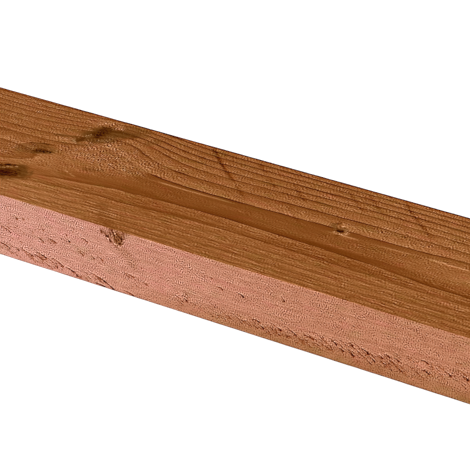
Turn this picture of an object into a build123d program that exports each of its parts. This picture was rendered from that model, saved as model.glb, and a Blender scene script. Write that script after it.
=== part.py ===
from build123d import *
import os

# Softwood beam: one length of rough-sawn stock, solid wood all the way through.
# X runs along the grain, Y across the wide faces and Z up through the thickness.
# The origin is the middle of the wide face that the beam lies on.

# Section and length, in millimetres
length = 2400.0  # a stock length, cut square at both ends
width = 150.0  # across the two wide faces
thickness = 50.0  # across the two narrow faces

# Edges, in millimetres
arris_radius = 1.0  # the four long corners, rubbed slightly round in handling
end_bevel = 0.5  # the rim of each end, where the cross-cut saw frayed the fibres

# The section is drawn standing on its lower wide face, then pulled out both ways from the
# middle of the length. The bevel runs round the whole rim of each sawn end.
with BuildPart() as beam:
    with BuildSketch(Plane.YZ):
        RectangleRounded(width, thickness, arris_radius, align=(Align.CENTER, Align.MIN))
    extrude(amount=length / 2, both=True)
    sawn_ends = beam.faces().filter_by(Axis.X)
    chamfer(sawn_ends.edges(), end_bevel)

beam.part.label = "beam"

os.makedirs("parts", exist_ok=True)
export_step(beam.part, "parts/beam.step")
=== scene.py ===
import functools
import itertools
import math

import bmesh
import bpy
import numpy as np
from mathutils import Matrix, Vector


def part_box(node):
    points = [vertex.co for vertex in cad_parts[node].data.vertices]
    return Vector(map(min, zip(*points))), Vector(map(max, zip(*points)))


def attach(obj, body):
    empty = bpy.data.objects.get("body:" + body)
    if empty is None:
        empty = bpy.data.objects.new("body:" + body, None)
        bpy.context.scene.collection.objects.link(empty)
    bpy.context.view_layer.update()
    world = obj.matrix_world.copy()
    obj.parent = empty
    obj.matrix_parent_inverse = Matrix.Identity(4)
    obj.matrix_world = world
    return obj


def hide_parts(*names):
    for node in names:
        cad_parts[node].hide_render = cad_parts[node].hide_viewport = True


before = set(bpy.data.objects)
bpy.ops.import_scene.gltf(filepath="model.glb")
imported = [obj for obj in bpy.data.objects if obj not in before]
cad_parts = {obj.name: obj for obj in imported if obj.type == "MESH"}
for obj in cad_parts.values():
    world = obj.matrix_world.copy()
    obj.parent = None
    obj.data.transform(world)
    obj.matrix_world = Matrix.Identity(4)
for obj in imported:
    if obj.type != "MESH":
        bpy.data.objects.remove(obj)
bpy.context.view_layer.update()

# Softwood beam, rough-sawn, lying on a pale studio floor.
# Sizes and places are in millimetres until the meshes are made. X runs along the grain,
# Y across the wide faces and Z up, as in the frame. The near side is -Y.
MM = 0.001
low, high = (np.array(corner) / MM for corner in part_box("beam"))
half_length = (high[0] - low[0]) / 2
half_width = (high[1] - low[1]) / 2
thickness = high[2] - low[2]
arris_radius = 1
end_bevel = 0.5

# The camera of the photograph: 470 pixels square, 28 degrees down, turned to the left
picture_side = 470
camera_place = np.array([842.4, -1280.9, 832.1])
camera_turn = math.radians(-32.471)
camera_dip = math.radians(27.937)
focal_pixels = 2402.2
sensor_width = 36


# Noise and soft steps


def soft_step(value, start, end):
    """0 at start and 1 at end, smooth in between. Start may be the larger."""
    t = np.clip((value - start) / (end - start), 0, 1)
    return t * t * (3 - 2 * t)


def lattice(cell, seed):
    """A fixed random number from -1 to 1 for each whole-number place."""
    n = cell[:, 0] * 374761393 + cell[:, 1] * 668265263 + cell[:, 2] * 1440662683 + seed * 974634777
    n = ((n ^ (n >> 13)) * 1274126177) & 0xFFFFFFFF
    n = ((n ^ (n >> 15)) * 2246822519) & 0xFFFFFFFF
    return (n ^ (n >> 16)) / 0x7FFFFFFF - 1


def noise(points, size, seed, octaves=1):
    """Smooth noise from about -1 to 1, whose bumps are size = (x, y, z) long."""
    total, weight, grown = 0.0, 0.0, np.asarray(points) / np.asarray(size, float)
    for octave in range(octaves):
        cell = np.floor(grown).astype(np.int64)
        t = grown - cell
        t = t * t * (3 - 2 * t)
        layer = 0.0
        for corner in itertools.product((0, 1), repeat=3):
            share = np.prod(np.where(corner, t, 1 - t), axis=1)
            layer = layer + share * lattice(cell + corner, seed + 31 * octave)
        total = total + layer * 0.5**octave
        weight += 0.5**octave
        grown = grown * 2.03 + 17.7
    return total / weight


# The tree that the beam was sawn from


# Where branches grew in a ring round the stem: place along the beam, and how far the pith
# shifts across and up there, from left to right
whorls = (
    (-1050, 7, 3),
    (-605, -8, 4),
    (-138, 7.6, -3.8),
    (318, -7, 4),
    (770, 7, -5),
    (1168, -5, 3),
)
pith_start = (-26.0, -48.4)
whorl_reach = 30
lean = -0.14  # the rings are wider on the near side of the pith by this share

# Ring edges by their distance from the pith. Years before and after them are all alike.
ring_edges = (85.0, 88.4, 91.8, 95.2, 98.4, 102.2, 105.5, 109.6, 113.4, 117.0)
ring_width = 3.8

# Swells, where the rings stand out or in: place on the surface, how far out, and how far they
# reach to the left, to the right and round the stem
swells = (
    ((-102, 50, 50), 6.7, 30, 30, 20),
    ((-110, -58, 50), 3, 25, 40, 24),
    ((-100, 46, 50), 1, 60, 60, 5),
    ((-40, -46, 50), 1.2, 12, 30, 12),
    ((-18, -75, 11), -4, 8, 10, 15),
    ((88, -75, 24), -5.3, 55, 75, 10),
    ((127, 41, 50), 1.6, 65, 75, 14),
    ((210, -11, 50), 1.2, 20, 75, 20),
)


def pith(x):
    """Where the pith is, across and up, at each place along the beam."""
    y = np.full(np.shape(x), pith_start[0])
    z = np.full(np.shape(x), pith_start[1])
    for place, shift_y, shift_z in whorls:
        passed = 0.5 + 0.5 * np.tanh((x - place) / whorl_reach)
        y = y + shift_y * passed
        z = z + shift_z * passed
    drift = soft_step(x, 20, 220) * soft_step(x, 420, 260)
    return y - 1.5 * drift, z + 0.7 * drift


class Branch:
    """The straight way of a branch, from the pith out through a point of the surface."""

    def __init__(self, x, y, z):
        self.x = x
        self.root_y, self.root_z = pith(np.array(float(x)))
        out = np.array([y - self.root_y, z - self.root_z])
        self.reach = np.hypot(*out)
        self.out = out / self.reach

    def around(self, points):
        """How far each point is out along the branch, and how far round the stem from it."""
        across = points[:, 1] - self.root_y
        up = points[:, 2] - self.root_z
        depth = across * self.out[0] + up * self.out[1]
        return depth, across * self.out[1] - up * self.out[0]


class Knot(Branch):
    """The cut wood of a branch."""

    lean = 0.25

    def __init__(self, place, radius, core=0, rim=0, body=0, stretch=1, pit=0, swell=0):
        super().__init__(*place)
        self.radius = radius  # where it meets the surface
        self.core = core  # how dark its middle is
        self.rim = rim  # how dark its outline is
        self.body = body  # how brown it is all over
        self.stretch = stretch  # its length along the grain over its width
        self.pit = pit  # how deep its middle is broken out
        self.swell = swell  # how far the rings stand out beside it

    def local(self, points):
        """Each point's place in the knot: along the grain, round the stem, and depth."""
        depth, sideways = self.around(points)
        middle = self.x - self.lean * (self.reach - depth)
        radius = self.radius * np.clip(0.3 + 0.7 * depth / self.reach, 0.1, 1.3)
        return (points[:, 0] - middle) / (radius * self.stretch), sideways / radius, depth


seen_knots = (
    Knot((-121, 44, 50), 11.5, body=0.3, stretch=0.95),
    Knot((-146, -2, 50), 8.5, stretch=1.7),
    Knot((-147, -41, 50), 9.5, core=0.2, body=0.4, stretch=1.2, pit=0.8),
    Knot((-22.3, -75, 43), 5.2),
    Knot((109.4, 8, 50), 2.5, body=0.5, pit=1),
)


# The stretch of the beam that the photograph shows: its middle and half its length
seen_middle = 8
seen_reach = 240


def leaves_at(x, turn):
    """Where a branch leaves the beam, across and up, that grows at turn degrees from upright."""
    root_y, root_z = pith(np.array(float(x)))
    slope = math.tan(math.radians(turn))
    y = root_y + (thickness - root_z) * slope
    if abs(y) <= half_width:
        return y, thickness
    y = math.copysign(half_width, y)
    return y, root_z + (y - root_y) / slope


def hidden_knots():
    """The branches of the whorls that the photograph doesn't show, spread round the stem."""
    rng = np.random.default_rng(11)
    found = []
    for whorl, _, _ in whorls:
        if abs(whorl) < seen_reach:
            continue
        turn = rng.uniform(-58, -38)
        while turn < 64:
            x = whorl + rng.uniform(-16, 16)
            y, z = leaves_at(x, turn)
            if z > 0:
                radius = rng.uniform(4, 12)
                core, rim, body = rng.uniform(0.2, 0.9, 3)
                pit = rng.choice([0, 0, 0.8])
                found.append(Knot((x, y, z), radius, core, rim, body, 1.1, pit, 0.5 * radius))
            turn += rng.uniform(24, 36)
    return found


knots = [*seen_knots, *hidden_knots()]


def bulge(points, branch, middle, height, left, right, side):
    """A smooth hump of the rings round a branch."""
    depth, sideways = branch.around(points)
    along = points[:, 0] - middle
    along = along / np.where(along < 0, left, right)
    return (depth > 0) * height * np.exp(-0.5 * (along**2 + (sideways / side) ** 2))


def ring_number(points):
    """Counts growth rings outward from the pith. It is whole at each ring's outer edge."""
    root_y, root_z = pith(points[:, 0])
    across = points[:, 1] - root_y
    radius = np.hypot(across, points[:, 2] - root_z) + lean * across
    radius = radius + 0.12 * noise(points, (60, 16, 16), 5, 2) + 0.05 * noise(points, (12, 4, 4), 6)
    for place, height, left, right, side in swells:
        radius = radius - bulge(points, Branch(*place), place[0], height, left, right, side)
    for knot in knots:
        if knot.swell:
            radius = radius - bulge(points, knot, knot.x + 12, knot.swell, 20, 31, 18)
    count = np.interp(radius, ring_edges, np.arange(len(ring_edges)))
    count = count + np.minimum(radius - ring_edges[0], 0) / ring_width
    return count + np.maximum(radius - ring_edges[-1], 0) / ring_width


def ring_pace(points):
    """How many rings lie in a millimetre across the face at each point."""
    on_top = (np.abs(points[:, 2] - thickness / 2) > thickness / 2 - 0.5)[:, None]
    across = np.where(on_top, [0, 0.5, 0], [0, 0, 0.5])
    return np.clip(np.abs(ring_number(points + across) - ring_number(points - across)), 0.02, 1.0)


# Marks of the saw and of handling


# Torn strokes that stand out on the near narrow face: from x, z to x, z and strength
seen_tears = (
    (-127, 9.9, -121, 8.8, 0.8),
    (-120.6, 8.8, -118.9, 7.6, 0.9),
    (-112.4, 9.8, -110.6, 8.4, 1),
    (-106, 9.9, -98, 7.3, 0.8),
    (-94, 11.4, -86, 9.3, 1),
    (-96, 9.4, -89, 6.8, 0.6),
    (-80, 10.9, -71, 6.8, 0.8),
    (-77.4, 7.6, -76.2, 4.6, 0.8),
    (-68, 6.9, -62, 4.8, 1),
    (-61.8, 5.5, -58.6, 2.6, 0.9),
    (-45.4, 8.4, -38.5, 6.2, 0.6),
    (-42.6, 1.8, -34.8, 0.9, 0.9),
    (-41, 7.4, -34, 4.9, 1),
    (-35, 5.2, -27, 1.2, 1),
    (-18, 2.9, -10, 1.3, 0.6),
    (-54, 34.4, -49, 32.9, 0.8),
    (-123.4, 24, -117.5, 21.1, 0.6),
    (-113, 36.2, -110.8, 33.9, 0.7),
    (-106, 36.4, -104.8, 35.2, 0.7),
    (-92, 24.4, -88, 21.9, 0.8),
    (-89.2, 34.8, -87.6, 31.4, 0.5),
    (-83, 25.9, -77, 24.4, 0.8),
    (-67.9, 34.4, -66.9, 33.4, 0.6),
    (-57.2, 23.3, -52.9, 21.2, 0.5),
    (-66, 30.2, -64.6, 28.6, 1),
    (-45, 22.9, -43.6, 21.2, 0.7),
    (-39.8, 23.7, -36.1, 22, 0.6),
    (-17.1, 17.4, -9.6, 16, 0.5),
    (33, 12, 35, 10.6, 1),
    (61, 29.5, 64.5, 28.5, 0.7),
    (78, 29.5, 81.5, 27.9, 1),
    (112, 37, 114, 34.4, 0.7),
    (89, 12.9, 94.5, 11.8, 0.8),
    (95, 9.6, 97.5, 8.2, 1),
    (109, 12.2, 111.5, 10.8, 1),
    (121, 12.2, 123.5, 10.8, 1),
    (130, 12.9, 137, 11.8, 0.7),
    (152, 15.2, 155, 13.6, 1),
    (158, 11.4, 160.5, 10.2, 0.9),
    (165, 17.9, 167.5, 16.2, 0.9),
    (164, 12.9, 168.5, 8.8, 1),
    (175, 16.4, 180, 13.9, 1),
    (181, 12.4, 184.5, 9.8, 0.9),
    (188, 15.6, 190.5, 14.2, 0.8),
    (193, 18, 195.5, 16.6, 0.8),
    (200, 17, 202.5, 15.6, 0.8),
    (220, 21.9, 224.5, 20.8, 0.8),
    (221, 14.9, 225.5, 13.2, 0.8),
    (237.5, 19.2, 241.5, 16.8, 1),
    (251, 19.6, 254, 17.8, 1),
)

# Smaller ones, in bands: each from x, z to x, z, half its height, how many strokes and how long
tear_bands = (
    (-131, 9, -60, 7, 3.5, 32, 6),
    (-60, 7, -36, 5, 2.5, 8, 5),
    (-131, 21, -70, 27, 6.5, 24, 3.5),
    (-62, 32, -34, 22, 7, 10, 3),
    (-20, 16, 0, 12, 4.5, 14, 3.5),
    (20, 14, 60, 10, 4.5, 22, 3.5),
    (62, 10, 128, 12, 4, 46, 6),
    (120, 12, 196, 15, 5, 62, 6.5),
    (190, 15, 262, 21, 5.5, 50, 6.5),
    (-131, 9, -30, 6, 4, 22, 2.5),
    (100, 11, 262, 19, 5.5, 44, 2.5),
    (-131, 36, -60, 38, 6, 8, 2),
    (-20, 30, 250, 36, 9, 24, 1.8),
)
tear_slopes = (16.0, 42.0)  # degrees down to the right
seen_half_width = 0.44
lip_shift = 0.9  # how far above a stroke its lifted fibres lie


def make_tears():
    """Each stroke as its start, its end, its half width and its depth."""
    rng = np.random.default_rng(3)
    made = [(*line, seen_half_width, strength) for *line, strength in seen_tears]
    for x0, z0, x1, z1, spread, count, length in tear_bands:
        for _ in range(count):
            t = rng.uniform(0, 1)
            x = x0 + (x1 - x0) * t + rng.normal(0, 1.5)
            z = z0 + (z1 - z0) * t + spread * rng.uniform(-1, 1)
            long = length * rng.uniform(0.35, 1.3)
            slope = math.radians(rng.uniform(*tear_slopes))
            end = (x + long * math.cos(slope), z - long * math.sin(slope))
            made.append((x, z, *end, rng.uniform(0.2, 0.32), rng.uniform(0.22, 0.7)))
    return made


tears = make_tears()


def tear_depth(points, shift=0.0):
    """How strongly the torn strokes, moved up by shift, mark the near face, from 0 to 1."""
    mark = np.zeros(len(points))
    x, z = points[:, 0], points[:, 2] - shift
    near = points[:, 1] < -half_width + 2.0
    for x0, z0, x1, z1, wide, strength in tears:
        spot = near & (x > x0 - 2) & (x < x1 + 2) & (z < z0 + 2) & (z > z1 - 2)
        if not spot.any():
            continue
        dx, dz = x1 - x0, z1 - z0
        span = dx * dx + dz * dz
        t = np.clip(((x[spot] - x0) * dx + (z[spot] - z0) * dz) / span, 0, 1)
        bow = 0.5 * np.sin(math.pi * t)
        away = np.hypot(x[spot] - x0 - t * dx, z[spot] - z0 - t * dz - bow)
        wider = wide * (0.6 + 0.7 * t**2)
        mark[spot] = np.maximum(mark[spot], strength * soft_step(away, wider * 1.9, wider * 0.7))
    return mark


def tear_lip_highlight(points):
    """Where the fibres lifted along the upper side of each torn stroke catch the light: a painted
    highlight.
    """
    return tear_depth(points, lip_shift) * (1 - tear_depth(points))


# Saw marks across the upper face: each from (x, y), so long and so strong
saw_marks = (
    (-38, 71, 58, 1),
    (7, 67, 14, 0.6),
    (26, 50, 14, 0.5),
    (48, 49, 24, 0.6),
    (9, 30, 22, 0.5),
    (126, 70, 56, 0.65),
    (86, 62, 32, 0.5),
    (100, 66, 30, 0.5),
    (184, 66, 22, 0.5),
    (60, 20, 26, 0.3),
    (-60, 30, 22, 0.3),
)
saw_slope = math.radians(-42)


def saw_depth(points):
    """How deep the saw marks cut into the upper face at each point, from 0 to 1."""
    depth = np.zeros(len(points))
    for x0, y0, long, strength in saw_marks:
        dx, dy = points[:, 0] - x0, points[:, 1] - y0
        along = dx * math.cos(saw_slope) + dy * math.sin(saw_slope)
        bend = 0.0016 * (along - 0.5 * long) ** 2
        away = np.abs(dy * math.cos(saw_slope) - dx * math.sin(saw_slope) - bend)
        ends = soft_step(along, -3, 3) * soft_step(along, long + 3, long - 6)
        depth = np.maximum(depth, strength * ends * soft_step(away, 2.3, 0.3))
    return depth * (points[:, 2] > thickness / 2)


# Marks that the knots left, as strokes: from one place to another, half width and strength.
# Places are x, y on the upper face, and x, z on the near face.
black_strokes = (
    (-123.4, 41, -122.4, 45, 2.6, 0.85),
    (-122.8, 44, -122.6, 53, 5.4, 0.45),
    (-121, 53, -114.5, 56, 3.4, 0.15),
    (-127, 46, -125.6, 54, 3.4, 0.15),
    (-130.3, 27, -129.2, 33, 2.6, 0.35),
    (-128.7, 34.9, -124.5, 40, 2, 0.2),
    (-114.5, 57, -101.5, 58, 1.6, 0.2),
    (-106.5, 44.5, -100, 52, 0.8, 0.35),
    (-97.4, 52.4, -96.4, 57, 1, 0.4),
    (-157.5, 6.2, -149.5, 10.4, 0.8, 0.35),
    (-149.5, 10.4, -141, 11, 0.8, 0.35),
    (-162.5, -3, -160.5, 4, 0.8, 0.25),
    (-99.8, 53.5, -99.2, 57.5, 1.1, 0.3),
    (-145, -0.9, -140.5, -0.1, 3.4, 0.7),
    (-143.5, -0.9, -139.5, -0.4, 1.6, 1.1),
    (-139.5, -0.4, -135.5, 0.3, 1.1, 0.9),
    (-149, -4, -144, -2.4, 0.9, 0.45),
    (-150, -0.4, -144, 1.6, 0.9, 0.4),
    (-156.5, -36.9, -153.5, -35.6, 1.2, 1),
    (-151.8, -33.4, -149.6, -32.2, 1.2, 1.2),
    (-148.4, -32.4, -145.2, -30.4, 1, 1),
    (-151.5, -46.5, -139, -39.5, 4.6, 0.6),
    (-147.5, -50.4, -136.5, -44, 2.8, 0.75),
    (-54, -48, -46, -60, 3.6, 0.12),
    (-46, -60, -30, -73, 4.6, 0.16),
    (-142, -53, -124, -41, 0.8, 0.3),
    (108.2, 7.3, 110.4, 8.4, 1.3, 1.2),
    (106.6, 12.4, 109.6, 14, 0.8, 0.5),
    (101.4, 16.6, 103.8, 17.6, 1, 0.5),
    (110.4, 1.2, 112.8, 2.6, 0.8, 0.35),
)
olive_strokes = (
    (-127, 42, -121.5, 52, 8.5, 1),
    (-120, 49, -107, 54.5, 7, 0.95),
    (-108, 54.5, -99, 58, 5, 0.8),
    (-109, 66, -96, 68, 4.5, 0.45),
    (-120.5, 35, -110, 42, 4.4, 0.8),
    (-108, 60, -93, 61.5, 4.5, 0.55),
    (-131.5, 27.5, -127, 36, 4, 0.85),
    (-128, 23.6, -116.5, 27.6, 1.3, 0.6),
    (-98, -8, -86, -4, 2.6, 0.35),
    (-150, 28, -134.5, 33, 2, 0.65),
    (-82, 52, -80, 59, 4, 0.4),
    (-158, -1.5, -146, 4, 5.4, 0.5),
    (-159, -6, -148, -4.5, 4, 0.5),
    (-148, 5, -139, 6, 3.2, 0.2),
    (-162.5, 1, -157.5, 6.2, 0.9, 0.5),
    (-157.5, 6.2, -149.5, 10.4, 0.9, 0.9),
    (-149.5, 10.4, -144, 11, 0.9, 0.9),
    (-163, -5.5, -162.5, 1, 1, 0.4),
    (-146.5, -4, -137, 0.5, 3.6, 0.9),
    (-139.5, -31.5, -132, -40.5, 5, 0.9),
    (-133.5, -33, -130, -36, 1, 1),
    (-128.8, -31.5, -125.4, -38, 1, 0.8),
    (-158, -43, -137, -36.5, 6, 0.8),
    (-140, -51, -126, -44, 2.5, 0.5),
    (100.5, 14, 104.5, 9.5, 2.4, 0.7),
    (-54, -50, -32, -73, 4.5, 0.15),
    (106, 8, 111.5, 11.5, 2.6, 0.6),
)
pale_strokes = (
    (-134, 28, -130.8, 24.2, 1.5, 0.7),
    (-149, 23.5, -135, 26.5, 1.8, 0.2),
    (-110.6, -16.8, -97.6, -22.2, 0.6, 0.4),
    (-117, 36.5, -110, 41.5, 1.6, 0.3),
    (-130.8, 36, -127.4, 41.5, 0.9, 0.5),
    (-127.8, 35.5, -125, 40, 0.8, 0.4),
    (-118, 60.5, -112, 62.5, 0.8, 0.6),
    (-136, 57.5, -131, 60, 0.8, 0.35),
    (-131.5, 62.5, -124.5, 66.5, 1, 0.5),
    (-154, -38.8, -152.6, -38, 0.8, 0.9),
    (-151, -37.2, -150, -36.7, 0.8, 0.8),
    (-148.4, -35.4, -147.6, -34.9, 0.7, 0.9),
    (-146, -33.8, -145, -33.2, 0.8, 0.9),
    (-143.4, -32.6, -142.4, -32, 0.7, 0.8),
    (107.2, 15, 109.4, 15.9, 0.8, 0.8),
    (106.2, 4.6, 110.4, 4.8, 1.1, 0.6),
    (112, 4.2, 114.8, 5.8, 1.3, 1),
    (112.8, 9.6, 115.2, 8, 1.2, 0.7),
)
near_black_strokes = (
    (-36.8, 45.8, -36, 44.2, 0.9, 0.8),
    (-31.8, 42.9, -30.2, 42.3, 0.75, 0.9),
    (-28.9, 46.6, -28.3, 44.4, 0.6, 0.8),
    (-29, 40.8, -28.6, 39.2, 0.75, 0.8),
    (-27.5, 48.6, -26.7, 47.2, 0.8, 0.7),
    (-33.6, 44.6, -33.2, 43.6, 0.6, 0.7),
    (-30.4, 46.6, -30, 45.8, 0.45, 0.6),
    (-27.9, 43.4, -27.6, 42.6, 0.45, 0.6),
    (-26.3, 46.2, -26, 45.4, 0.45, 0.6),
    (-22.2, 43.4, -21.8, 42.4, 0.45, 0.5),
    (-32.4, 41.2, -32, 40.4, 0.45, 0.4),
    (-23.3, 47.6, -22.5, 46.6, 0.5, 0.6),
    (-21.6, 45.6, -20.2, 44.8, 0.5, 0.5),
    (-19.1, 44.6, -18.9, 42.6, 0.7, 1),
    (-20.9, 40.2, -20.5, 39, 0.7, 1),
    (-24.1, 42.2, -23.5, 41.2, 0.6, 0.6),
    (-25.3, 44.8, -24.9, 43.8, 0.5, 0.5),
    (-17.4, 48.6, -16.7, 45.4, 0.6, 0.5),
    (-26.6, 39, -25, 36.9, 0.5, 0.4),
    (-24.2, 36.7, -22.2, 35.9, 0.5, 0.3),
)
near_pale_strokes = (
    (-30.6, 41.4, -29.8, 40.6, 0.6, 1),
    (-27.2, 45, -26.8, 41.4, 0.5, 0.5),
    (-26.8, 41.4, -25, 38.6, 0.5, 0.7),
    (-25, 38.6, -22.4, 37.2, 0.5, 0.8),
    (-22.4, 37.2, -19.4, 37.4, 0.5, 0.8),
    (-19.4, 37.4, -17.6, 39.6, 0.5, 0.5),
    (-25.2, 48, -23.6, 46.4, 0.8, 0.6),
)
near_olive_strokes = (
    (-22, 46, -22.2, 41.4, 4.2, 0.9),
    (-30.5, 48.5, -13, 49.5, 1.2, 0.5),
    (-34, 46, -29, 42, 1.6, 0.35),
    (-20, 37, -9, 27, 3.6, 0.25),
)


def strokes(points, listed, high):
    """How strongly the strokes of a list cover each point of their face, from 0 to 1."""
    total = np.zeros(len(points))
    blur = np.stack([noise(points, (7, 2.2, 2.2), seed, 2) for seed in (41, 42)], 1)
    place = points[:, (0, 1 if high else 2)]
    for *line, wide, strength in listed:
        start, run = line[:2], np.subtract(line[2:], line[:2])
        off = place - start + blur * (0.2 + 0.35 * wide)
        t = np.clip(off @ run / (run @ run), 0, 1)
        away = np.linalg.norm(off - t[:, None] * run, axis=1)
        total = np.maximum(total, strength * soft_step(away, wide * 1.45, wide * 0.5))
    face = points[:, 2] > thickness - 0.9 if high else points[:, 1] < -half_width + 0.9
    return total * face


def stain(on_top, on_near_face):
    """How strongly two lists of strokes cover the upper and the near face, as a function."""
    def cover(points):
        return np.maximum(strokes(points, on_top, True), strokes(points, on_near_face, False))

    return cover


black_stain = stain(black_strokes, near_black_strokes)
olive_stain = stain(olive_strokes, near_olive_strokes)
pale_chips = stain(pale_strokes, near_pale_strokes)


# Patches of the upper face where the saw tore up short pale fibres, and below 0 those where it
# left the wood smooth: middle, reach along and across, strength
fuzzy_patches = (
    (-125, 62, 20, 8, 0.7),
    (-46, -58, 11, 9, 0.5),
    (-122, -33, 24, 10, -1),
    (-92, -23, 24, 10, -1),
    (-62, -14, 24, 9, -0.9),
    (-98, 22, 30, 24, 1),
    (-76, 10, 28, 12, 0.9),
    (-118, 12, 20, 12, 0.8),
    (-60, 26, 30, 14, 0.5),
    (-168, -10, 14, 14, 0.5),
    (190, -8, 46, 12, -0.3),
    (150, 24, 40, 8, 0.35),
    (-196, 62, 36, 14, 0.2),
)


def fuzz(points):
    """How fuzzy each point is, from -1 for smooth through 0 for plain to 1."""
    torn_up, smooth = np.zeros(len(points)), np.zeros(len(points))
    for x, y, along, across, strength in fuzzy_patches:
        away = np.hypot((points[:, 0] - x) / along, (points[:, 1] - y) / across)
        patch = strength * soft_step(away, 1.25, 0.35)
        torn_up = np.maximum(torn_up, patch)
        smooth = np.minimum(smooth, patch)
    total = (torn_up * (1 + smooth) + smooth) * (points[:, 2] > thickness / 2)
    elsewhere = soft_step(noise(points, (45, 18, 18), 61, 2), 0.15, 0.6) * 0.6
    outside = soft_step(np.abs(points[:, 0] - seen_middle), seen_reach, seen_reach + 60)
    return total + elsewhere * outside * (1 - np.abs(total))


# A growth ring's edge, lifted along the middle of the upper face
ridge_start, ridge_end, ridge_y = -66, 262, 3.2


def ridge(points):
    x, y = points[:, 0], points[:, 1]
    line = ridge_y + 0.3 * np.sin(x / 26) + 0.2 * np.sin(x / 9) + 1.5 * soft_step(x, 120, 180)
    along = soft_step(x, ridge_start - 6, ridge_start + 10)
    along = along * soft_step(x, ridge_end + 8, ridge_end - 12)
    along = along * soft_step(np.abs(x - 64), 34, 50)  # it is gone round the middle
    broken = soft_step(noise(points, (22, 50, 50), 71), -1.0, -0.1)
    return along * broken * soft_step(np.abs(y - line), 1.1, 0.4) * (points[:, 2] > thickness / 2)


# The sawn surface


def nearest_core(points):
    """For each point, the nearest one of the section's core, which ends where the arrises turn."""
    core_y = half_width - arris_radius
    inner = points.copy()
    inner[:, 1] = np.clip(points[:, 1], -core_y, core_y)
    inner[:, 2] = np.clip(points[:, 2], arris_radius, thickness - arris_radius)
    return inner


def outward(points):
    """The direction that each point of the plain beam's surface faces."""
    away = points - nearest_core(points)
    facing = away / np.maximum(np.linalg.norm(away, axis=1), 1e-9)[:, None]
    on_end = np.abs(points[:, 0]) > half_length - 0.1 * end_bevel
    facing[on_end] = np.sign(points[on_end, :1]) * [1, 0, 0]
    return facing


def seat(points):
    """Moves points onto the rounded section, all but those of the two ends."""
    inner = nearest_core(points)
    away = points - inner
    size = np.linalg.norm(away, axis=1)
    long = (np.abs(points[:, 0]) < half_length - 0.5 * end_bevel) & (size > 0)
    seated = points.copy()
    seated[long] = inner[long] + away[long] / size[long, None] * arris_radius
    return seated


skin = 0.3  # the mean depth of the rough surface under the beam's true faces
lowest_rise = 0.02
tooth_pitch = 3.4  # from one stripe of the saw's teeth to the next

# How far marks stand out, or how deep they go
ridge_height = 0.22
saw_mark_depth = 0.28
tear_mark_depth = 0.75
late_wood_height = 0.05
knot_height = 0.12
knot_crack_depth = 0.5
knot_outline_depth = 0.22


def saw_roughness(points, wide, narrow):
    """How far the sawn surface stands out at each point, with the marks on it."""
    rise = 0.07 * noise(points, (9, 2.4, 2.4), 81, 2) + 0.05 * noise(points, (2.6, 1.3, 1.3), 82, 2)
    rise = rise + np.maximum(fuzz(points), 0) * 0.16 * noise(points, (3.0, 1.5, 1.5), 83, 2)
    waver = 2 * noise(points, (40, 9, 9), 84)
    rise = rise + 0.04 * narrow * np.sin(points[:, 0] * 2 * math.pi / tooth_pitch + waver)
    rise = rise + wide * (ridge_height * ridge(points) - saw_mark_depth * saw_depth(points))
    rise = rise - narrow * tear_mark_depth * tear_depth(points)
    return rise + late_wood_height * wide * soft_step(ring_number(points) % 1, 0.5, 0.95)


def knot_roughness(points):
    """How far knots stand out, less their cracks, their outlines and their broken middles."""
    rise = np.zeros(len(points))
    for knot in knots:
        along, sideways, depth = knot.local(points)
        away = np.hypot(along, sideways)
        hit = (away < 2.2) & (depth > 0)
        along, sideways, away = along[hit], sideways[hit], away[hit]
        spot = np.stack([along, sideways, 0 * along], 1)
        spokes = noise(spot / (away[:, None] + 0.15) * 2.3, (1, 1, 1), 91)
        crack = soft_step(np.abs(spokes), 0.16, 0.02) * soft_step(away, 0.95, 0.5)
        outline = knot.rim * soft_step(np.abs(away - 1.0), 0.14, 0.02)
        rise[hit] += knot_height * soft_step(away, 1.1, 0.7)
        rise[hit] -= knot_crack_depth * crack * knot.core + knot_outline_depth * outline
        rise[hit] -= knot.pit * soft_step(away, 0.85, 0.35)
    return rise


def relief(points):
    """How far each point of the surface stands in from the true face. It is never above it."""
    facing = outward(points)
    wide = np.abs(facing[:, 2])
    narrow = np.abs(facing[:, 1])
    rise = saw_roughness(points, wide, narrow) + knot_roughness(points)
    edge = 1 - np.maximum(wide, narrow)
    rise = rise - edge * (0.25 + 0.5 * np.maximum(0, noise(points, (11, 3, 3), 95, 2)))
    return np.minimum(rise - skin, -lowest_rise)


# The beam's mesh


column_step = 8
row_step = 5
arris_steps = 2
# Each end closes by rings that shrink, by so much, onto the middle line of the end face
end_insets = (end_bevel, 3, 7, 11, 15, 20, 25)
end_line = 50  # half the length of that line


def section():
    """The points (y, z) round the plain section, starting at the lower near corner."""
    def on_arris(y, z, turn):
        angle = math.radians(turn)
        return np.array([y + arris_radius * math.cos(angle), z + arris_radius * math.sin(angle)])

    y, z = half_width - arris_radius, thickness / 2 - arris_radius
    corners = ((y, -z, -90), (y, z, 0), (-y, z, 90), (-y, -z, 180))
    outline = []
    for number, (y, z, turn) in enumerate(corners):
        for step in range(arris_steps + 1):
            outline.append(on_arris(y, z, turn + 90 * step / arris_steps))
        start = outline[-1]
        run = on_arris(*corners[(number + 1) % 4]) - start
        count = max(2, round(np.linalg.norm(run) / row_step) + 1)
        outline.extend(start + run * share for share in np.linspace(0, 1, count)[1:-1])
    return np.array(outline) + [0, thickness / 2]


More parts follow.
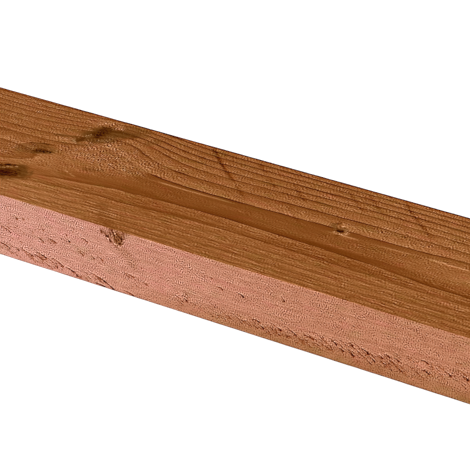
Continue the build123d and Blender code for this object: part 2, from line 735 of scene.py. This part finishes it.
def plain_beam():
    """The beam with flat faces, as one closed mesh of even quads."""
    outline = section()
    count = len(outline)
    straight_end = half_length - end_bevel
    columns = np.linspace(-straight_end, straight_end, round(2 * straight_end / column_step) + 1)
    middle_y = np.clip(outline[:, 0], -end_line, end_line)
    middle = np.stack([middle_y, np.full(count, thickness / 2)], 1)
    reach = np.linalg.norm(outline - middle, axis=1)[:, None]
    rings = [(x, outline) for x in columns]
    for inset in end_insets:
        shrunk = middle + (outline - middle) * (1 - inset / end_insets[-1])
        if inset == end_bevel:
            shrunk = outline - (outline - middle) / reach * end_bevel
        rings.insert(0, (-half_length, shrunk))
        rings.append((half_length, shrunk))
    mesh = bmesh.new()
    rows = [[mesh.verts.new((x, y, z)) for y, z in ring] for x, ring in rings]
    for left, right in zip(rows, rows[1:]):
        for i in range(count):
            j = (i + 1) % count
            mesh.faces.new((left[i], left[j], right[j], right[i]))
    bmesh.ops.remove_doubles(mesh, verts=mesh.verts, dist=1e-4)
    bmesh.ops.dissolve_degenerate(mesh, edges=mesh.edges, dist=1e-4)
    bmesh.ops.recalc_face_normals(mesh, faces=mesh.faces)
    return mesh


def in_picture(points, margin):
    """Whether each point falls inside the photograph's frame, give or take margin pixels."""
    east, north = math.sin(camera_turn), math.cos(camera_turn)
    ahead = np.array([east, north, 0]) * math.cos(camera_dip) - [0, 0, math.sin(camera_dip)]
    right = np.array([north, -east, 0])
    up = np.cross(right, ahead)
    away = points - camera_place
    deep = away @ ahead
    half = picture_side / 2 + margin
    x = focal_pixels * (away @ right) / deep
    y = focal_pixels * (away @ up) / deep
    return (np.abs(x) < half) & (np.abs(y) < half)


def refine(mesh, wanted):
    """Cuts each wanted face into four, and fits its neighbours to it."""
    split = [face for face, is_wanted in zip(mesh.faces, wanted) if is_wanted]
    edges = list(dict.fromkeys(edge for face in split for edge in face.edges))
    bmesh.ops.subdivide_edges(mesh, edges=edges, cuts=1, use_grid_fill=True, use_single_edge=True)


def on_seen_faces(points):
    return (points[:, 2] > thickness - 0.9) | (points[:, 1] < -half_width + 0.9)


def close_to(field, points, shifts):
    """Whether a field marks a place that lies one of the shifts away from each point."""
    return np.any([field(points + shift) > 0 for shift in shifts], axis=0)


level_shifts = ((0, 0, 0), (1.2, 0, 0), (-1.2, 0, 0), (0, 1.2, 0), (0, -1.2, 0))
nearby = (*level_shifts, (0, 0, 0.9), (0, 0, -0.9))
close_by = ((0.6, 0, 0), (-0.6, 0, 0), (0, 0, 0.5), (0, 0, -0.5), (0, 0, -1))


def near_detail(points):
    """Whether a point of a seen face is near a knot, a torn stroke or the lifted ring."""
    found = close_to(tear_depth, points, nearby) | close_to(ridge, points, nearby)
    for knot in seen_knots:
        along, sideways, depth = knot.local(points)
        found |= (np.hypot(along, sideways) < 1.5) & (depth > 0)
    marked = (black_stain(points) > 0) | (pale_chips(points) > 0)
    return found | marked | (saw_depth(points) > 0.2)


def stroke_detail(points):
    """Whether a point is close to a torn stroke or to a black mark of the near face's knot."""
    marked = (black_stain(points) > 0) & (points[:, 2] < thickness - 1)
    return marked | close_to(tear_depth, points, close_by)


# Where the mesh of the seen faces is cut finer, pass by pass, and how far past the picture
passes = ((on_seen_faces, 40), (on_seen_faces, 14), (near_detail, 6), (stroke_detail, 6))


def rough_beam():
    mesh = plain_beam()
    for wanted, margin in passes:
        middles = np.array([face.calc_center_median() for face in mesh.faces])
        refine(mesh, in_picture(middles, margin) & on_seen_faces(middles) & wanted(middles))
    return mesh


wood_fields = {
    "year": ring_number,
    "pace": ring_pace,
    "fuzz": fuzz,
    "black": black_stain,
    "olive": olive_stain,
    "pale": pale_chips,
    "tear": tear_depth,
    "lip": tear_lip_highlight,
    "saw": saw_depth,
    "ridge": ridge,
}


def nearest_knot(points):
    """For each point: its place in the nearest knot, and how dark that knot's parts are."""
    place = np.full((len(points), 3), 9.0)
    look = np.zeros((len(points), 3))
    best = np.full(len(points), 9.0)
    for number, knot in enumerate(knots):
        along, sideways, depth = knot.local(points)
        away = np.hypot(along, sideways)
        hit = (away < best) & (depth > 0)
        best[hit] = away[hit]
        place[hit] = np.stack([along, sideways, 0 * along + number * 3.7], 1)[hit]
        look[hit] = (knot.core, knot.rim, knot.body)
    return place, look


def store(mesh, name, values):
    """Keeps one number or one triple of numbers for each vertex."""
    kind, key = ("FLOAT", "value") if values.ndim == 1 else ("FLOAT_VECTOR", "vector")
    attribute = mesh.attributes.new(name, kind, "POINT")
    attribute.data.foreach_set(key, values.astype(np.float32).ravel())


def add_object(name, data):
    made = bpy.data.objects.new(name, data)
    bpy.context.scene.collection.objects.link(made)
    return made


def make_beam():
    shape = rough_beam()
    mesh = bpy.data.meshes.new("sawn_beam")
    shape.to_mesh(mesh)
    shape.free()
    points = np.empty(len(mesh.vertices) * 3)
    mesh.vertices.foreach_get("co", points)
    points = seat(points.reshape(-1, 3))
    for name, field in wood_fields.items():
        store(mesh, name, field(points))
    place, look = nearest_knot(points)
    store(mesh, "knot_place", place)
    store(mesh, "knot_look", look)
    rough = points + outward(points) * relief(points)[:, None]
    mesh.vertices.foreach_set("co", (rough * MM).ravel())
    mesh.polygons.foreach_set("use_smooth", np.ones(len(mesh.polygons), bool))
    mesh.update()
    return add_object("sawn_beam", mesh)


# Materials


class Graph:
    """Short ways to write the nodes of a material or world. An input is a socket or a value."""

    def __init__(self, owner):
        self.owner = owner
        owner.use_nodes = True
        self.tree = owner.node_tree
        self.tree.nodes.clear()

    def node(self, kind, *inputs, **settings):
        made = self.tree.nodes.new("ShaderNode" + kind)
        for key, value in settings.items():
            setattr(made, key, value)
        for socket, value in zip(made.inputs, inputs):
            self.feed(socket, value)
        return made

    def feed(self, socket, value):
        if isinstance(value, bpy.types.NodeSocket):
            self.tree.links.new(value, socket)
        elif value is not None:
            socket.default_value = value

    def fill(self, made, **values):
        """Feeds a node's inputs by their names, with _ for a space."""
        for name, value in values.items():
            self.feed(made.inputs[name.replace("_", " ")], value)
        return made.outputs

    def math(self, operation, a, b=None):
        return self.node("Math", a, b, operation=operation).outputs[0]

    def add(self, *values):
        return functools.reduce(functools.partial(self.math, "ADD"), values)

    def times(self, *values):
        return functools.reduce(functools.partial(self.math, "MULTIPLY"), values)

    def minus(self, a, b):
        return self.math("SUBTRACT", a, b)

    def step(self, value, start, end, low=0.0, high=1.0):
        """low where value is at start, high where it is at end, smooth in between."""
        made = self.node("MapRange", value, start, end, low, high, interpolation_type="SMOOTHSTEP")
        return made.outputs[0]

    def swing(self, tone, amount, spread=0.25):
        """Turns noise about 0.5 into numbers from -amount to amount."""
        return self.step(tone, 0.5 - spread, 0.5 + spread, -amount, amount)

    def mix_values(self, share, a, b):
        """a where share is 0, b where it is 1."""
        return self.fill(self.node("Mix", data_type="FLOAT"), Factor=share, A=a, B=b)["Result"]

    def mix(self, share, a, b):
        """Colour a where share is 0, b where it is 1."""
        made = self.node("Mix", data_type="RGBA", clamp_factor=True)
        self.feed(made.inputs["Factor"], share)
        for socket, value in zip([s for s in made.inputs if s.type == "RGBA"], (a, b)):
            self.feed(socket, (*value, 1.0) if isinstance(value, tuple) else value)
        return [s for s in made.outputs if s.type == "RGBA"][0]

    def attribute(self, name, output="Fac"):
        return self.node("Attribute", attribute_name=name).outputs[output]

    def split(self, vector):
        return self.node("SeparateXYZ", vector).outputs[:]

    def vectors(self, operation, a, b):
        return self.node("VectorMath", a, b, operation=operation).outputs[0]

    def scaled(self, vector, amount):
        return self.fill(self.node("VectorMath", vector, operation="SCALE"), Scale=amount)[0]

    def noise(self, places, size, detail=2, rough=0.5):
        """Smooth noise about 0.5, whose bumps are size = (x, y, z) millimetres long."""
        grown = self.vectors("MULTIPLY", places, tuple(1 / s for s in size))
        made = self.node("TexNoise", grown, noise_dimensions="3D")
        return self.fill(made, Scale=1.0, Detail=detail, Roughness=rough)["Fac"]

    def even_specks(self, across, up, turn, alike):
        """Even fine specks, as many above 0 as below it. The first two count specks along a face.
        Turn is the direction, in degrees, in which they follow each other, and alike is how
        strictly they keep to it."""
        place = self.node("CombineXYZ", across, up, 0.0).outputs[0]
        made = self.node("TexGabor", place, gabor_type="2D")
        turned = math.radians(turn)
        self.fill(made, Scale=0.5, Frequency=2.0, Anisotropy=alike, Orientation=turned)
        return self.minus(made.outputs["Value"], 0.5)

    def shift(self, colour, amount):
        """Adds one number to each part of a colour."""
        same = self.node("CombineXYZ", amount, amount, amount).outputs[0]
        return self.vectors("ADD", colour, same)

    def light(self, colour):
        """Turns a colour as the eye sees it into the share of light that it sends back."""
        safe = self.vectors("MAXIMUM", colour, (0.01, 0.01, 0.01))
        raised = self.vectors("ADD", safe, (0.055, 0.055, 0.055))
        return self.node("Gamma", self.scaled(raised, 1 / 1.055), 2.4).outputs[0]


# Colours as the eye sees them, from 0 to 1
wide_brown = (0.627, 0.38, 0.188)
# The narrow faces' colours are partly the pale fuzz of sawn wood and partly painted sheen and
# light; paler at the left end is painted light falling from the left
narrow_lit_left = (0.905, 0.65, 0.578)
narrow_lit_right = (0.815, 0.548, 0.415)
narrow_low = (0.731, 0.486, 0.326)
end_brown = (0.6, 0.4, 0.25)
torn_pink = (0.72, 0.47, 0.335)
far_orange = (0.64, 0.35, 0.12)
late_olive = (0.41, 0.245, 0.085)
knot_olive = (0.425, 0.245, 0.07)
side_knot_brown = (0.62, 0.38, 0.215)
tear_shade_brown = (0.55, 0.22, 0.03)
lip_highlight_peach = (0.93, 0.7, 0.55)

# How much each mark adds to the colour, or takes off it
ring_line = -0.215
ring_start = 0.055
streak_mark = 0.024
hair_mark = 0.022
grain_mark = 0.022
fibre_mark = 0.045
patch_mark = 0.032
# Dark pits among the specks: partly their own tone, partly painted shade; glint tones down the
# specks' painted highlight on the narrow faces
pepper_painted_shade = -0.3
pit_painted_shade = -0.09
glint_mark = -0.45
smooth_mark = -0.032
stripe_mark = 0.022
# Painted shade along the far and the low arrises, which turn away from the light
far_rim_painted_shade = -0.22
low_rim_painted_shade = -0.09
knot_ring_mark = 0.05
knot_outline_mark = -0.3
knot_core_mark = -0.4
black_mark = (-0.3, -0.5)  # on the wide faces, and on the narrow ones
pale_mark = 0.28
# tear darkens with painted shade in the torn grooves; lip brightens with a painted highlight on the
# lifted fibres
stored_marks = {"tear": -0.31, "lip": 0.2, "saw": -0.15, "ridge": 0.21}

# Lengths in the fine texture, in millimetres
speck_long, speck_wide, speck_high = 1.75, 3.2, 1.7
thread_long = 5
stripe_pitch = 2.05


class Wood(Graph):
    """The wood's graph, with the values that several parts of its look share."""

    def __init__(self):
        super().__init__(bpy.data.materials.new("rough_sawn_softwood"))
        self.at = self.scaled(self.node("TexCoord").outputs["Object"], 1 / MM)
        self.x, self.y, self.z = self.split(self.at)
        self.narrow, self.on_end = face_masks(self)
        self.wide = self.minus(1, self.narrow)
        stored = ("pace", "fuzz", "olive", "black")
        self.pace, self.fuzz, self.olive, self.black = map(self.attribute, stored)
        self.wobble = self.noise(self.at, (30, 1.4, 1.4), 3)
        swerve = self.times(self.minus(self.wobble, 0.5), 0.14)
        self.year = self.add(self.attribute("year"), swerve)
        self.late, self.dawn = ring_tones(self)
        self.loose, self.quiet = looseness(self)
        self.grain = self.noise(self.at, (34, 1.5, 1), 2, 0.6)
        self.fibre = self.noise(self.at, (5.5, 1.5, 0.9), 1)
        self.specks = saw_specks(self)
        self.stripes = saw_stripes(self)
        self.core, self.rim, self.body = self.split(self.attribute("knot_look", "Vector"))
        self.away = knot_distance(self)


def face_masks(g):
    """Whether a point lies on a narrow face, and whether it lies on an end."""
    from_side = g.minus(half_width, g.math("ABSOLUTE", g.y))
    from_wide = g.minus(thickness / 2, g.math("ABSOLUTE", g.minus(g.z, thickness / 2)))
    narrow = g.step(g.minus(from_wide, from_side), -0.12, 0.12)
    on_end = g.step(g.math("ABSOLUTE", g.x), half_length - 1.4, half_length - 1)
    return narrow, on_end


def ring_tones(g):
    """The dark late wood of each ring, which ends in a thin line, and the bright start."""
    part = g.math("FRACT", g.year)
    which = g.node("TexWhiteNoise", noise_dimensions="1D")
    chance = g.fill(which, W=g.math("FLOOR", g.year))["Value"]
    on_wide = g.step(chance, 0, 1, 0.85, 1.1)
    strength = g.mix_values(g.narrow, on_wide, g.step(chance, 0, 1, 0.25, 0.75))
    uneven = g.step(g.noise(g.at, (60, 5, 5)), 0.3, 0.7, 0.75, 1.15)
    # Torn or smoothed wood and the stains of knots hide the rings, most at the left
    clear = g.times(
        g.step(g.fuzz, 0.15, 0.75, 1, 0.15),
        g.step(g.x, -135, -70, 0.6, 1),
        g.step(g.fuzz, -1, -0.1, 0.55, 1),
        g.step(g.olive, 0, 0.7, 1, 0.15),
    )
    # The wide band along the middle, where a ring lies nearly flat in the face, is darker
    band = g.times(g.step(g.pace, 0.1, 0.05), g.step(g.x, 130, 200, 1, 0))
    dusk = g.times(g.step(part, 0.3, 0.9), g.mix_values(band, 0.25, 0.36))
    to_edge = g.math("DIVIDE", g.minus(1, part), g.pace)
    crisp = g.times(g.step(g.y, 2, -18, 1, 0.5), g.step(g.x, 60, 160, 1, 0.8))
    line = g.times(g.step(to_edge, 2.3, 0.8), crisp, 0.7)
    end = g.step(to_edge, 0, 0.35)
    late = g.times(g.add(dusk, line), end, strength, uneven, clear)
    return late, g.times(g.step(part, 0.24, 0.04), strength)


def looseness(g):
    """How loose the fibres are, and how far streaks show: less in late wood and in knots."""
    least = g.step(g.pace, 0.05, 0.1, 0.14, 0.55)
    soft = g.times(g.step(g.late, 0.42, 0.04, least, 1), g.step(g.olive, 0, 1, 1, 0.45))
    patchy = g.step(g.noise(g.at, (14, 7, 7)), 0.35, 0.65, 0.62, 1.3)
    low_edge = g.step(g.z, 3, 11, 0.55, 1)
    loose = g.times(soft, patchy, g.step(g.fuzz, -1, 1, 0.25, 1.65), low_edge)
    return loose, g.step(soft, 0, 1, 0.35, 1)


def saw_specks(g):
    """Specks where the saw tore the wood, which in the colour are partly the fibres' own tone and
    partly painted self-shadow and highlight.
    On the near half of the wide faces, which is calmer, threads along the grain are mixed in."""
    over = g.add(g.x, g.times(g.y, g.on_end))
    up = g.add(g.times(g.y, 1 / speck_wide), g.times(g.z, 1 / speck_high))
    specks = g.even_specks(g.times(over, 1 / speck_long), up, 30, 0.1)
    threads = g.even_specks(g.times(over, 1 / thread_long), up, 88, 0.8)
    calm = g.times(g.step(g.y, -10, -30, 0, 1), g.step(g.x, -20, 60, 0.5, 0.45), g.wide)
    return g.mix_values(calm, specks, threads)


def saw_stripes(g):
    """Even stripes that the saw left across the faces, where they aren't worn away."""
    worn = g.step(g.noise(g.at, (30, 8, 8)), 0.45, 0.62)
    phase = g.add(g.times(g.x, 2 * math.pi / stripe_pitch), g.times(g.wobble, 1.5))
    return g.times(g.math("SINE", phase), worn)


def knot_distance(g):
    """How far each point is from the middle of its nearest knot, in radii, with ragged edges."""
    along, sideways, _ = g.split(g.attribute("knot_place", "Vector"))
    ragged = g.times(g.minus(g.noise(g.at, (7, 2.2, 2.2), 3, 0.6), 0.5), 0.9)
    squares = g.add(g.times(along, along), g.times(sideways, sideways))
    return g.add(g.math("SQRT", squares), ragged)


# The parts of the wood's shade: what their marks add to its plain colour


def ring_shade(g):
    near_half = g.step(g.y, -12, -55, 1, 0.48)
    late = g.times(g.late, near_half, ring_line)
    return g.add(late, g.times(g.dawn, near_half, ring_start))


def ring_noise(g, long, per_year, per_height, detail, rough):
    """Noise that follows the rings."""
    along, up = g.times(g.x, 1 / long), g.times(g.z, per_height)
    place = g.node("CombineXYZ", along, g.times(g.year, per_year), up).outputs[0]
    return g.noise(place, (1, 1, 1), detail, rough)


def fibre_shade(g):
    """Long streaks, hairs on the near half of the wide faces, grain and short loose fibres."""
    streak = ring_noise(g, 42, 3.4, 0.02, 3, 0.6)
    hair = ring_noise(g, 90, 4.4, 0, 2, 0.55)
    return g.add(
        g.times(g.swing(streak, streak_mark), g.quiet),
        g.times(g.swing(hair, hair_mark, 0.1), g.step(g.y, -12, -30), g.wide),
        g.times(g.swing(g.grain, grain_mark), g.quiet),
        g.times(g.swing(g.fibre, fibre_mark), g.loose, g.step(g.narrow, 0, 1, 1, 0.3)),
    )


def speck_shade(g):
    """Specks and the dark pits between them, partly the fibres' own tone and partly painted
    self-shadow and highlight, and soft patches on the narrow faces.
    """
    on_wide = g.times(g.step(g.y, -12, -30, 0.68, 0.76), g.step(g.x, 0, 120, 1, 1.12))
    share = g.mix_values(g.narrow, on_wide, g.step(g.x, 20, 140, 1.32, 1.07))
    pitted = g.math("MAXIMUM", g.times(g.fuzz, 0.25), g.times(g.narrow, g.olive))
    glint = g.math("MAXIMUM", g.specks, 0)
    patches = g.noise(g.at, (8, 3, 2.4))
    return g.add(
        g.times(g.specks, g.loose, share),
        g.times(g.step(g.specks, -0.04, -0.14), pitted, pepper_painted_shade),
        g.times(g.step(g.specks, -0.06, -0.2), g.narrow, pit_painted_shade),
        g.times(glint, g.loose, g.narrow, glint_mark),
        g.times(g.swing(patches, patch_mark), g.narrow),
        g.step(g.fuzz, -0.2, -1, 0, smooth_mark),
    )


def zone_shade(g):
    """Stretches of the wide faces that lie a little paler or darker."""
    far_right = g.times(g.step(g.x, 60, 140), g.step(g.y, 4, 14), 0.025)
    near_left = g.times(g.step(g.x, -40, -90), g.step(g.y, -40, -56), 0.035)
    strip = g.times(g.step(g.y, -13, -18), g.step(g.y, -44, -30), g.step(g.x, -90, -30), -0.04)
    return g.times(g.add(far_right, near_left, strip), g.wide)


def rim_shade(g):
    """Painted shade: the far rim of the wide faces and the low rim of the narrow ones lie darker,
    where the rounded arrises turn away from the light.
    """
    far_rim = g.times(g.step(g.y, half_width - 3.4, half_width - 2), g.wide, far_rim_painted_shade)
    return g.add(far_rim, g.times(g.step(g.z, 2.2, 0.8), g.narrow, low_rim_painted_shade))


def knot_shade(g):
    rings = g.times(g.math("SINE", g.times(g.away, 20)), g.step(g.away, 1.15, 0.85), g.body)
    outline = g.step(g.math("ABSOLUTE", g.minus(g.away, 1)), 0.22, 0.04)
    return g.add(
        g.times(rings, knot_ring_mark),
        g.times(outline, g.rim, knot_outline_mark),
        g.times(g.step(g.away, 0.8, 0.3), g.core, knot_core_mark),
    )


def mark_shade(g):
    """Stripes of the saw, and the marks that are stored with the mesh."""
    streaky = g.step(g.noise(g.at, (2.6, 1.6, 1.1)), 0.32, 0.62, 0.3, 1)
    uneven = g.add(1, g.times(g.specks, 7))
    shade = g.add(
        g.times(g.stripes, stripe_mark),
        g.times(g.black, streaky, uneven, g.step(g.narrow, 0, 1, *black_mark)),
        g.times(g.attribute("pale"), uneven, pale_mark),
    )
    return g.add(shade, *(g.times(g.attribute(name), much) for name, much in stored_marks.items()))


def plain_colour(g):
    """The colour of each face without its rings and fibres."""
    # Narrow faces: paler at the left end, painted light falling from the left, and partly painted
    # sheen throughout
    side = g.mix(g.step(g.x, -200, 240), narrow_lit_left, narrow_lit_right)
    side = g.mix(g.times(g.step(g.z, 18, 3), g.step(g.x, -60, 130)), side, narrow_low)
    rim = g.step(g.add(g.y, g.times(g.wobble, 2)), half_width - 6, half_width - 1)
    top = g.mix(g.times(rim, 0.6), wide_brown, far_orange)
    top = g.mix(g.times(g.fuzz, 0.18), top, torn_pink)
    colour = g.mix(g.on_end, g.mix(g.narrow, top, side), end_brown)
    hue = g.noise(g.at, (22, 8, 8), 3, 0.6)
    redder = g.vectors("ADD", colour, (0.02, -0.01, 0.01))
    colour = g.mix(g.step(hue, 0.54, 0.72), colour, redder)
    greener = g.vectors("ADD", colour, (-0.03, 0, -0.02))
    return g.mix(g.step(hue, 0.46, 0.28), colour, greener)


def wood_colour(g):
    """The plain colour, with late wood, knots and stains in their own colours, painted shade in the
    torn strokes and a painted highlight on the fibres lifted beside them.
    """
    colour = g.mix(g.times(g.late, g.wide, 0.3), plain_colour(g), late_olive)
    knot = g.mix(g.narrow, knot_olive, side_knot_brown)
    colour = g.mix(g.times(g.step(g.away, 2.2, 0.9), g.body, 0.35), colour, knot)
    colour = g.mix(g.times(g.step(g.away, 1.15, 0.85), g.body), colour, knot)
    colour = g.mix(g.math("MAXIMUM", g.olive, g.times(g.black, 0.9)), colour, knot)
    # Painted shade in the grooves of the torn strokes
    colour = g.mix(g.attribute("tear"), colour, tear_shade_brown)
    # A painted highlight on the fibres lifted above each torn stroke
    return g.mix(g.times(g.attribute("lip"), 0.5), colour, lip_highlight_peach)


def fine_relief(g):
    """The relief that is too fine for the mesh."""
    rise = g.add(
        g.times(g.grain, 0.12),
        g.times(g.fibre, g.loose, 0.2),
        g.times(g.specks, g.loose, 0.35),
        g.times(g.stripes, 0.02),
        g.times(g.late, 0.06),
    )
    return g.fill(g.node("Bump"), Strength=1.0, Distance=1.0 * MM, Height=rise)[0]


def wood_material():
    g = Wood()
    parts = (ring_shade, fibre_shade, speck_shade, zone_shade, rim_shade, knot_shade, mark_shade)
    shade = g.add(*(part(g) for part in parts))
    colour = g.light(g.shift(wood_colour(g), shade))
    dull = g.step(g.late, 0, 1, 0.86, 0.66)
    shader = g.node("BsdfPrincipled")
    g.fill(shader, Base_Color=colour, Roughness=dull, Normal=fine_relief(g))
    shader.inputs["Specular IOR Level"].default_value = 0.01
    g.fill(g.node("OutputMaterial"), Surface=shader.outputs[0])
    return g.owner


# The studio


room_light = 0.336
key_light = 3
floor_glow = 0.72
floor_grey = (0.5, 0.5, 0.5, 1.0)
floor_reach = 20.0  # metres each way
white = (1.0, 1.0, 1.0, 1.0)


def looked_at(g):
    """1 for what the camera sees, also mirrored or through glass, and 0 for light elsewhere."""
    rays = g.node("LightPath").outputs
    seen = g.math("MAXIMUM", rays["Is Camera Ray"], rays["Is Glossy Ray"])
    return g.math("MAXIMUM", seen, rays["Is Transmission Ray"])


def floor_material():
    """White to the camera, and darker only where the beam keeps the light off it."""
    g = Graph(bpy.data.materials.new("studio_floor"))
    glow = g.node("Emission", white, g.times(looked_at(g), floor_glow))
    matte = g.node("BsdfDiffuse", floor_grey)
    both = g.node("AddShader", glow.outputs[0], matte.outputs[0])
    g.fill(g.node("OutputMaterial"), Surface=both.outputs[0])
    return g.owner


def make_floor():
    mesh = bpy.data.meshes.new("floor")
    far = floor_reach
    corners = [(-far, -far, 0), (far, -far, 0), (far, far, 0), (-far, far, 0)]
    mesh.from_pydata(corners, [], [(0, 1, 2, 3)])
    mesh.materials.append(floor_material())
    floor = add_object("floor", mesh)


def make_world():
    """An even room, which looks white and lights the beam at a third of that strength."""
    world = bpy.data.worlds.new("studio")
    bpy.context.scene.world = world
    g = Graph(world)
    level = g.node("MapRange", looked_at(g), 0, 1, room_light, 1)
    back = g.node("Background", white, level.outputs[0])
    g.fill(g.node("OutputWorld"), Surface=back.outputs[0])


def make_key():
    """One soft lamp from the front and left, low enough to rake across both seen faces."""
    lamp = bpy.data.lights.new("key", "SUN")
    lamp.energy = key_light
    lamp.angle = math.radians(9)
    key = add_object("key", lamp)
    toward = Vector((-0.6, -0.5, 0.62))
    key.rotation_mode = "QUATERNION"
    key.rotation_quaternion = toward.to_track_quat("Z", "Y")
    key.location = toward * 3


def make_camera():
    lens = bpy.data.cameras.new("camera")
    lens.sensor_width = sensor_width
    lens.lens = focal_pixels / picture_side * sensor_width
    camera = add_object("camera", lens)
    camera.location = camera_place * MM
    camera.rotation_euler = (math.pi / 2 - camera_dip, 0, -camera_turn)
    bpy.context.scene.camera = camera


beam = make_beam()
beam.data.materials.append(wood_material())
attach(beam, "root")
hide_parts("beam")

make_floor()
make_world()
make_key()
make_camera()
bpy.context.scene.view_settings.view_transform = "Standard"
